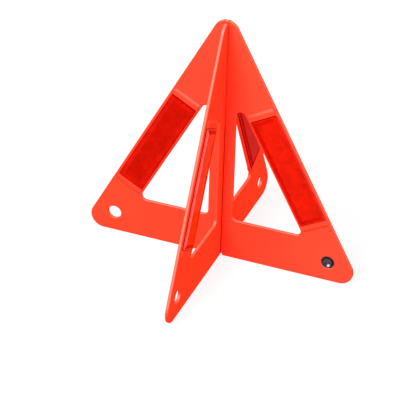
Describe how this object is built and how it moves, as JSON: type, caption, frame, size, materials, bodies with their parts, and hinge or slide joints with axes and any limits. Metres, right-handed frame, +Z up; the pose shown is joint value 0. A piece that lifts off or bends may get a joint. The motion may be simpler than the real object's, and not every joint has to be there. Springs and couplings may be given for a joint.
{
  "type": "warning triangle",
  "caption": "Red plastic roadside warning triangle of two windowed triangular plates that slot together at a right angle, with red prismatic reflectors on every wing.",
  "frame": {"origin": "on the ground, under the vertical line where the two plates cross", "axes": "+Z up; +X along the main plate towards the wing that carries the storage stud; the main plate's front faces -Y, and the cross plate runs from its near wing at -Y to its far wing at +Y"},
  "size_m": [0.2814, 0.2792, 0.2619],
  "materials": {
    "plate_plastic": "satin moulded ABS, fluorescent red",
    "lens_acrylic": "polished transparent red acrylic over a prism field",
    "backing_sheet": "metallised sheet",
    "stud_nickel": "bright black-nickel plate",
    "spring_wire": "spring-steel wire"
  },
  "bodies": {
    "cross": {"cross_plate": "plate_plastic", "near_wing_right_backing": "backing_sheet", "near_wing_right_lens": "lens_acrylic", "near_wing_left_backing": "backing_sheet", "near_wing_left_lens": "lens_acrylic", "far_wing_right_backing": "backing_sheet", "far_wing_right_lens": "lens_acrylic", "far_wing_left_backing": "backing_sheet", "far_wing_left_lens": "lens_acrylic"},
    "main": {"main_plate": "plate_plastic", "left_wing_front_backing": "backing_sheet", "left_wing_front_lens": "lens_acrylic", "left_wing_rear_backing": "backing_sheet", "left_wing_rear_lens": "lens_acrylic", "right_wing_front_backing": "backing_sheet", "right_wing_front_lens": "lens_acrylic", "right_wing_rear_backing": "backing_sheet", "right_wing_rear_lens": "lens_acrylic", "storage_stud": "stud_nickel", "stud_ring": "spring_wire"}
  },
  "joints": [
    {"name": "main_plate_lift", "type": "slide", "parent": "cross", "child": "main", "axis": [0, 0, 1], "range_m": [0, 0.26]}
  ]
}
